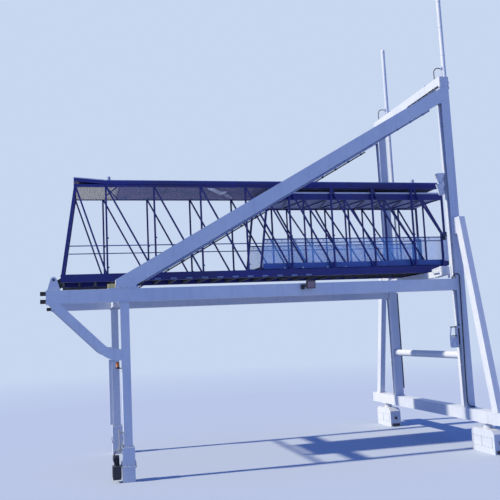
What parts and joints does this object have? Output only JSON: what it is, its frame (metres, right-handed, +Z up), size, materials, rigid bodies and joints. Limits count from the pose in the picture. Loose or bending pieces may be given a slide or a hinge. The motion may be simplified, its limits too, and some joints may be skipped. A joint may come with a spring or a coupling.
{
  "type": "ship passenger boarding bridge",
  "caption": "Quay-side boarding bridge: a telescopic lattice tunnel tilting between two welded side frames, its front end lifted by a carriage on twin masts.",
  "frame": {"origin": "on the ground in the middle of the bridge's overall length and width", "axes": "X runs from the terminal end out to the ship, Y runs along the quay, Z is up"},
  "size_m": [14.88, 9.64, 16.48],
  "materials": {
    "white_paint": "semi-gloss white coating, weathered",
    "navy_paint": "semi-gloss navy coating",
    "blue_paint": "semi-gloss blue coating",
    "rail_paint": "satin dark blue coating",
    "ceiling_panel": "satin grey-mauve coated sheet",
    "grey_paint": "satin grey coating",
    "amber_lens": "glossy amber plastic lens",
    "dark_deck": "matt dark anti-slip coating",
    "dark_steel": "satin dark grey coating",
    "rod_steel": "polished chrome",
    "black_rubber": "matt black rubber",
    "tinted_glass": "light blue tinted safety glass"
  },
  "bodies": {
    "gantry": {"near_main_beam": "white_paint", "far_main_beam": "white_paint", "near_rear_leg": "white_paint", "far_rear_leg": "white_paint", "near_rear_foot": "white_paint", "far_rear_foot": "white_paint", "near_knee_brace": "white_paint", "far_knee_brace": "white_paint", "near_inclined_girder": "white_paint", "far_inclined_girder": "white_paint", "near_mast": "white_paint", "far_mast": "white_paint", "near_guide_rail": "white_paint", "far_guide_rail": "white_paint", "near_side_strut": "white_paint", "far_side_strut": "white_paint", "near_pivot_bracket": "white_paint", "far_pivot_bracket": "white_paint", "near_lift_cylinder": "white_paint", "far_lift_cylinder": "white_paint", "near_bogie": "white_paint", "far_bogie": "white_paint", "rear_cross_beam": "white_paint", "front_sill_beam": "white_paint", "top_cross_beam": "white_paint", "mast_tie_tube": "white_paint", "rear_buffers": "black_rubber", "floodlight": "dark_steel", "warning_beacon": "amber_lens", "control_cabinet": "grey_paint", "warning_siren": "white_paint", "cable_tray": "dark_steel", "girder_conduit": "grey_paint", "hydraulic_unit": "dark_steel", "hydraulic_hoses": "black_rubber", "leg_duct": "white_paint"},
    "outer_tunnel": {"outer_near_truss": "navy_paint", "outer_far_truss": "navy_paint", "outer_roof": "navy_paint", "outer_floor": "dark_deck", "pivot_shaft": "dark_steel", "outer_handrails": "rail_paint", "runner_pads": "black_rubber", "outer_ceiling": "ceiling_panel", "rear_roof_panel": "navy_paint", "service_pipes": "dark_steel", "roof_lamps": "grey_paint"},
    "inner_tunnel": {"inner_near_truss": "navy_paint", "inner_far_truss": "navy_paint", "inner_roof": "navy_paint", "inner_floor": "dark_deck", "parapet_glass": "tinted_glass", "kick_boards": "blue_paint", "rubber_nose": "black_rubber", "inner_handrails": "rail_paint", "roof_trim": "white_paint"},
    "carriage": {"lift_carriage": "white_paint", "piston_rods": "rod_steel"}
  },
  "joints": [
    {"name": "tunnel_tilt", "type": "hinge", "parent": "gantry", "child": "outer_tunnel", "pos_m": [-7.04, 0, 6.15], "axis": [0, -1, 0], "range_deg": [-3, 8]},
    {"name": "tunnel_extend", "type": "slide", "parent": "outer_tunnel", "child": "inner_tunnel", "axis": [1, 0, 0], "range_m": [0, 3.6]},
    {"name": "carriage_lift", "type": "slide", "parent": "gantry", "child": "carriage", "axis": [0, 0, 1], "range_m": [-0.71, 1.89]}
  ],
  "couplings": [
    {"joint": "carriage_lift", "follows": "tunnel_tilt", "m_per_rad": 13.44}
  ]
}
